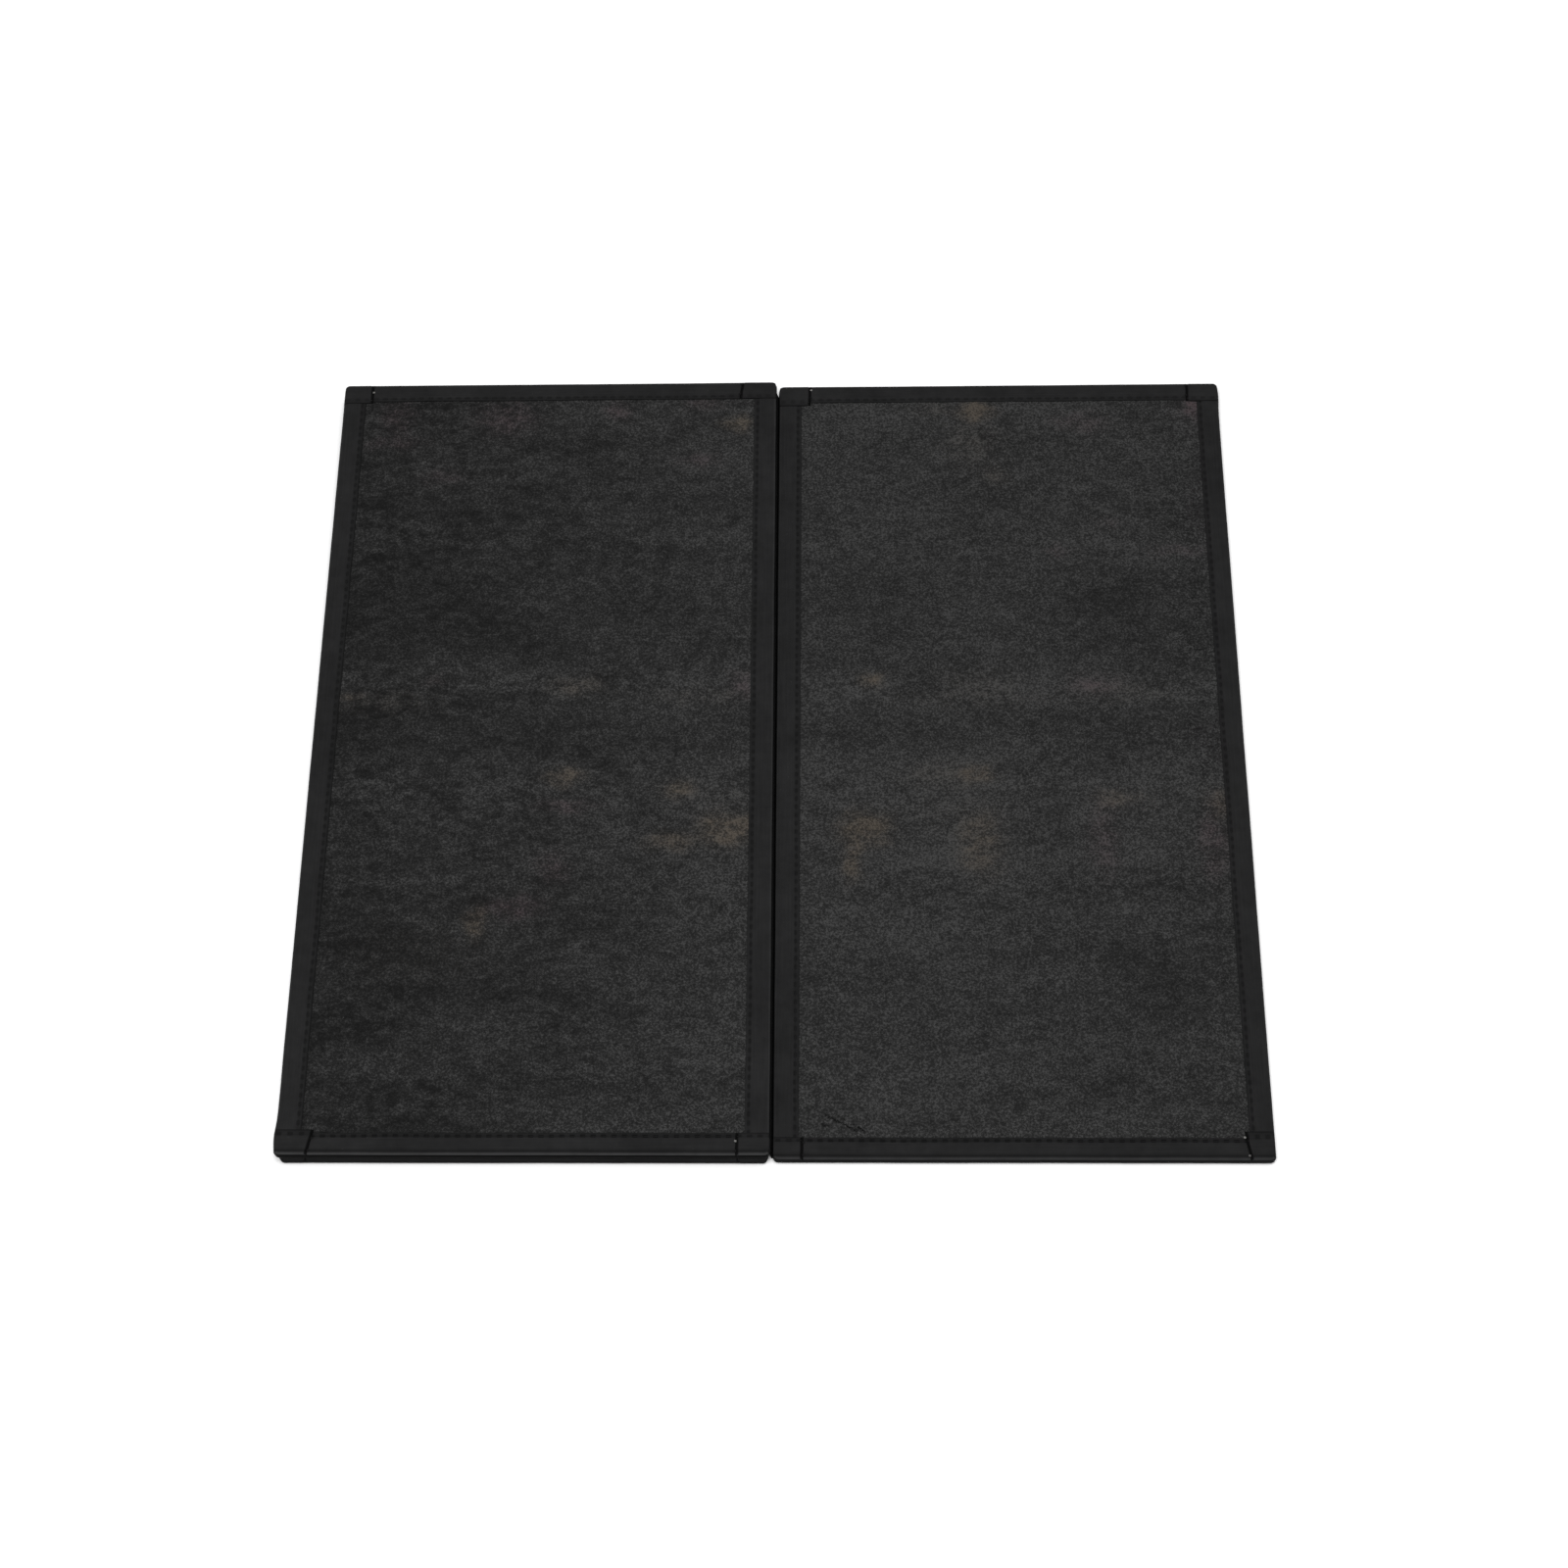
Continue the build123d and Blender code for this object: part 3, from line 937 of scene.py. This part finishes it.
# ---- what is particular to each panel ----
# Dusty places: u, v, half-width and half-height in mm, how pale, and how warm, which is ochre above 0
# and rosy below.
DUST = {
    "middle": [
        (188, 572, 9, 8, 0.36, -0.22), (40, 330, 34, 9, 0.12, 0.06), (270, 560, 11, 7, 0.34, 0.35),
        (112, 566, 20, 15, 0.08, -0.20), (38, 566, 11, 16, 0.08, -0.20), (36, 545, 20, 5, 0.05, -0.16),
        (72, 515, 14, 6, 0.12, -0.14), (168, 342, 18, 7, 0.34, 0.14), (22, 334, 7, 4, 0.40, 0.20),
        (75, 346, 8, 4, 0.30, -0.12), (276, 342, 8, 12, 0.36, -0.16), (162, 271, 12, 7, 0.40, 0.28),
        (236, 262, 10, 7, 0.36, 0.26), (165, 249, 20, 5, 0.18, -0.18), (268, 231, 17, 12, 0.66, 0.42),
        (232, 222, 14, 7, 0.34, 0.30), (262, 254, 30, 9, 0.34, 0.02), (250, 334, 36, 7, 0.20, 0.04),
        (136, 173, 20, 8, 0.08, -0.22), (112, 162, 7, 11, 0.16, 0.30), (158, 203, 11, 12, 0.10, -0.16),
        (250, 180, 24, 40, 0.18, 0.0), (56, 214, 40, 16, -0.14, 0.0), (70, 140, 44, 22, -0.14, 0.02),
        (248, 62, 22, 22, 0.10, 0.0), (248, 578, 14, 6, 0.10, -0.16), (244, 528, 14, 6, 0.10, -0.14),
    ],
    "end": [
        (134, 577, 13, 8, 0.48, 0.40), (283, 578, 6, 9, 0.66, -0.30), (205, 566, 16, 9, 0.16, -0.14),
        (112, 578, 18, 6, 0.20, 0.06), (146, 520, 8, 8, 0.16, 0.10), (220, 480, 8, 6, 0.24, -0.08),
        (186, 455, 9, 5, 0.24, -0.10), (266, 456, 18, 5, 0.36, -0.12), (60, 352, 8, 6, 0.46, 0.34),
        (130, 350, 26, 10, 0.20, 0.04), (206, 346, 16, 9, 0.46, -0.16), (110, 277, 28, 10, 0.34, 0.06),
        (112, 250, 34, 14, 0.30, 0.02), (124, 212, 40, 22, 0.20, 0.0), (118, 168, 38, 18, 0.16, 0.0),
        (110, 96, 36, 14, 0.14, 0.0), (130, 548, 18, 18, 0.22, 0.06), (128, 336, 50, 8, 0.20, 0.03),
        (226, 340, 30, 8, 0.16, 0.04), (128, 277, 11, 6, 0.22, 0.28), (56, 236, 15, 13, 0.32, 0.42),
        (48, 212, 7, 14, 0.18, 0.30), (130, 224, 13, 22, 0.22, 0.26), (208, 228, 9, 26, 0.20, -0.16),
        (220, 258, 16, 7, 0.24, 0.16), (277, 226, 9, 30, 0.18, -0.18), (282, 256, 12, 10, 0.22, 0.10),
        (284, 252, 6, 9, 0.30, 0.20), (232, 128, 36, 24, -0.22, 0.0), (250, 92, 40, 16, -0.16, 0.0),
        (180, 225, 16, 34, -0.14, 0.0),
    ],
    "folded": [(90, 420, 26, 14, 0.2, 0.1), (210, 180, 34, 16, 0.22, 0.12)],
}
# Rows across the cloth that the rollers left paler or darker: v and half-height in mm, how pale.
ROWS = [
    (572, 20, 0.16), (520, 14, 0.07), (462, 11, 0.14), (405, 34, -0.10),
    (344, 10, 0.26), (310, 14, -0.10), (262, 24, 0.22), (215, 18, 0.16),
    (150, 22, 0.02), (110, 20, -0.05), (60, 22, 0.08),
]
# How much paler the cloth is at a panel's left edge, half-way across and at its right edge.
PALENESS_ACROSS = {"middle": (0.01, 0.20, 0.40), "end": (0.46, 0.44, 0.36), "folded": (0.2, 0.2, 0.2)}

# How far apart the back cloth's rows of points are, in mm, and how full the cloth lies.
CLOTH_SPACING = {"middle": 2.0, "folded": 3.5, "end": 2.4}
CLOTH_CROWN = {"middle": 0.10, "folded": -0.12, "end": 0.10}
# Where it is creased, in mm: from, to, half-width and depth.
WRINKLES = {
    "middle": [],
    "end": [
        ((28, 32), (53, 18), 0.8, 0.20),
        ((34, 33), (60, 16), 0.7, 0.16),
        ((26, 25), (38, 20), 0.8, 0.08),
    ],
    "folded": [((40, 60), (90, 48), 1.6, 0.15)],
}


def dust_cloth(panel, piece, u, v):
    """Notes how pale, how warm, how rosy and how cracked the back cloth is at each point."""
    seed = DUST_SEED + PANELS.index(panel)
    blotch = np.zeros_like(u)
    # Never quite 0, since rosy is noted as a share of it.
    rust = np.full_like(u, 1e-6)
    rosy = np.zeros_like(u)
    row_sway = 4 * rolling(u, v, seed + 1, 0.2)
    for at, half, pale in ROWS:
        uneven = 0.9 + 0.7 * rolling(u, v, seed + at, 0.11)
        blotch = blotch + pale * uneven * np.exp(-(((v / MM - at + row_sway) / half) ** 2))
    sway_u = 3 * rolling(u, v, seed + 2, 0.035)
    sway_v = 3 * rolling(u, v, seed + 3, 0.030)
    for at_u, at_v, half_u, half_v, pale, warm in DUST[panel.name]:
        du = (u / MM - at_u + sway_u) / half_u
        dv = (v / MM - at_v + sway_v) / half_v
        spot = np.exp(-((du**2 + dv**2) ** 1.4))
        blotch = blotch + pale * spot
        rust = rust + abs(warm) * spot
        rosy = rosy + max(-warm, 0) * spot
    # Paler or darker across each panel, from its left edge to its right.
    note(piece, "dust", np.interp(u / panel.width, [0, 0.5, 1], PALENESS_ACROSS[panel.name]))
    note(piece, "blotch", blotch)
    note(piece, "rust", np.clip(rust * 2.8, 0, 0.95))
    note(piece, "rosy", rosy / rust)
    # Only the end panel's cloth is cracked, in a strip along its right side.
    strip = np.exp(-(((u / MM - 272) / 13) ** 2))
    strip = strip * smooth((v / MM - 130) / 60) * smooth((585 - v / MM) / 30)
    note(piece, "crackled", strip if panel is END else strip * 0)


# Corner caps, in mm: each one's length along the short side at its outer and inner edge, its added
# reach, and its tacks: how far each is in from the short side, and how pale its thread is.
PLAIN = [(2.8, 0.0), (11.2, 0.0)]
CAPS = {
    "middle": {
        ("back", "left"): (20.0, 20.0, 1.6, [(2.8, 0.0), (7.6, 0.8)]),
        ("back", "right"): (23.8, 25.6, 0.0, PLAIN),
        ("front", "right"): (20.7, 20.7, 0.0, [(2.8, 0.0), (9.4, 0.9)]),
        ("front", "left"): (19.6, 22.6, 2.0, PLAIN),
    },
    "folded": {
        ("back", "left"): (19.4, 20.6, 0.8, PLAIN),
        ("back", "right"): (21.0, 20.0, 1.4, [(2.8, 0.0), (11.2, 0.7)]),
        ("front", "right"): (19.0, 20.0, 0.4, PLAIN),
        ("front", "left"): (18.4, 19.6, 1.0, PLAIN),
    },
    "end": {
        ("back", "left"): (21.9, 21.3, 2.8, [(4.4, 1.0), (11.2, 0.0)]),
        ("back", "right"): (22.3, 22.3, 1.2, PLAIN),
        ("front", "left"): (18.0, 18.0, 0.0, PLAIN),
        ("front", "right"): (15.7, 18.3, 4.2, [(2.8, 0.5), (15.2, 1.0)]),
    },
}


def make_panel(panel):
    """All the soft goods of one panel, from its foam out to its stitching."""
    make_core(panel)
    face = panel.back_cloth_face
    spacing = CLOTH_SPACING[panel.name] * MM
    crown = CLOTH_CROWN[panel.name] * MM
    cloth, u, v = make_cloth(panel, panel.name + "_back", face, spacing, crown, WRINKLES[panel.name])
    dust_cloth(panel, cloth, u, v)
    finish_cloth(cloth, panel, CLOTH, "back_cloth", BACK_CLOTH)
    skin, _, _ = make_cloth(panel, panel.name + "_face", -face, FACE_SPACING, FACE_CROWN, [])
    finish_cloth(skin, panel, SKIN, "face_skin", FACE_SKIN)
    for side in SIDES:
        make_binding(panel, side)
        make_seam(panel, side)
    caps = CAPS[panel.name]
    for (end, side), (outer, inner, extra, _) in caps.items():
        make_cap(panel, end, side, outer * MM, inner * MM, extra * MM)
    make_tacks(panel, caps)


for panel in PANELS:
    make_panel(panel)


# ---- the two hinge tapes ----
def tape_strip(name, path, front, back, seed, waviness):
    """A strip of tape from the front to the back of the mat, and how wide it is when flat.

    Its cross-section follows path, which holds x and z in metres.
    """
    path = np.array(path, float)
    gone = np.concatenate([[0], np.cumsum(np.hypot(*np.diff(path, axis=0).T))])
    along = np.linspace(front, back, 200)
    piece, s, y = net(name, gone, along)
    x = np.interp(s, gone, path[:, 0])
    z = np.interp(s, gone, path[:, 1])
    x = x + waviness * wander(y, seed, 0.13)
    set_points(piece, np.stack([x, y, z], -1))
    lay_pattern(piece, s, y)
    note(piece, "edge", np.full_like(s, 7.0))
    # Painted shade on the first few mm of the hinge tape's width.
    note(piece, "grime", np.full_like(s, 0.8))
    apply_modifier(piece, "SOLIDIFY", thickness=HINGE_TAPE, offset=0)
    dress(piece, HINGE)
    return piece, gone[-1]


# The fold tape joins the left edges of the middle and the folded panel.
fold_low, fold_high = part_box("fold_tape_upper")
fold_y = (fold_low.y, fold_high.y)
crease_z = (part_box("fold_tape_lower")[1].z + fold_low.z) / 2
left = MIDDLE.left


def fold_path():
    """The tape's way down the two edges, the same above and below its crease."""
    upper = [(0.65, 5.1), (0.2, 4.4), (-0.15, 3.4), (-0.30, 2.4), (-0.38, 1.3), (-0.52, 0.6)]
    crease = [(-0.68, z) for z in (0.15, 0.1, 0.05, 0)]
    half = upper + crease
    whole = half + [(x, -z) for x, z in half[-2::-1]]
    return [(left + x * MM, crease_z + z * MM) for x, z in whole]


fold_tape, fold_width = tape_strip("fold_tape", fold_path(), *fold_y, FOLD_TAPE_SEED, 0.05 * MM)
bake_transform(fold_tape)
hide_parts("fold_tape_upper", "fold_tape_lower")

# The spine tape hangs in the gap, where the end panel turns about its foot.
spine_low, spine_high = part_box("spine_tape")
spine_x = (spine_low.x + spine_high.x) / 2
spine_y = (spine_low.y, spine_high.y)


def from_spine(points):
    """Points given in mm from the tape's foot, in the shared frame."""
    return [(spine_x + x * MM, spine_low.z + z * MM) for x, z in points]


hanging_path = [(-2.2, 8.4), (-1.75, 7.2), (-1.5, 6.2), (-1.1, 4.4), (-0.6, 2.6), (-0.15, 1.0), (0, 0)]
hanging = from_spine(hanging_path)
spine_tape, hanging_width = tape_strip("spine_tape_strip", hanging, *spine_y, SPINE_TAPE_SEED, 0.12 * MM)
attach(spine_tape, "spine")
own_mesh(spine_tape)
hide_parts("spine_tape")

# Its other leg turns in under the end panel's edge, where it is sewn.
turned = from_spine([(0, 0), (0.25, -0.10), (0.6, -0.14), (1.1, -0.02), (1.55, 0.3), (1.85, 0.7)])
spine_leg, leg_width = tape_strip("spine_tape_leg", turned, *spine_y, SPINE_TAPE_SEED, 0.12 * MM)
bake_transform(spine_leg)
spine_flat = (hanging_width + leg_width, spine_y[1] - spine_y[0])


# ---- floor, light and camera ----
FLOOR_SIZE = 9
SKY_STRENGTH = 0.7
# Lamps: name, place, width in metres and power in watts.
LAMPS = [
    ("softbox", (-0.3, -0.9, 2.2), 1.6, 46),
    ("fill", (0.6, 0.5, 2.4), 1.4, 14),
]
# The camera looks at this point from this far away, pitched down, turned and tilted by these angles.
AIM = Vector((3.65, -26.85, 0)) * MM
DISTANCE = 2.355
PITCH = math.radians(56.25)
YAW = math.radians(-1.06)
ROLL = math.radians(-0.865)
SENSOR_WIDTH = 36
FOCAL_LENGTH = 84.2625


def make_floor():
    """A plain pale floor at the lowest point of the mat."""
    clear_selection()
    bpy.ops.mesh.primitive_plane_add(size=FLOOR_SIZE, location=(0, 0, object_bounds()[0].z))
    floor = bpy.context.object
    floor.name = "floor"
    f = Finish("floor_finish")
    soft = f.noise(f.place, 1.5, 2.0)
    f.set(Base_Color=soft.tint((0.83, 0.83, 0.83, 1), (0.85, 0.85, 0.85, 1)))
    f.set(Roughness=0.9 + 0.02 * soft)
    f.shine(0.0)
    floor.data.materials.append(f.material)


def make_light():
    """A white sky and two soft lamps."""
    world = bpy.data.worlds.new("studio")
    world.use_nodes = True
    sky = world.node_tree.nodes["Background"]
    sky.inputs["Color"].default_value = (1, 1, 1, 1)
    sky.inputs["Strength"].default_value = SKY_STRENGTH
    bpy.context.scene.world = world
    bpy.context.scene.view_settings.view_transform = "Standard"
    for name, place, size, power in LAMPS:
        clear_selection()
        bpy.ops.object.light_add(type="AREA", location=place)
        lamp = bpy.context.object
        lamp.name = name
        lamp.data.shape = "DISK"
        lamp.data.size = size
        lamp.data.energy = power
        lamp.rotation_euler = (-lamp.location).to_track_quat("-Z", "Y").to_euler()


def make_camera():
    """The camera, standing in front of the mat and above it."""
    ahead = math.cos(PITCH)
    forward = Vector((math.sin(YAW) * ahead, math.cos(YAW) * ahead, -math.sin(PITCH)))
    level = Vector((math.cos(YAW), -math.sin(YAW), 0))
    upright = level.cross(forward)
    right = level * math.cos(ROLL) + upright * math.sin(ROLL)
    up = upright * math.cos(ROLL) - level * math.sin(ROLL)
    clear_selection()
    bpy.ops.object.camera_add()
    camera = bpy.context.object
    camera.name = "camera"
    camera.data.sensor_width = SENSOR_WIDTH
    camera.data.lens = FOCAL_LENGTH
    camera.data.clip_start = 0.05
    facing = Matrix((right, up, -forward)).transposed().to_4x4()
    camera.matrix_world = Matrix.Translation(AIM - forward * DISTANCE) @ facing
    bpy.context.scene.camera = camera


make_floor()
make_light()
make_camera()
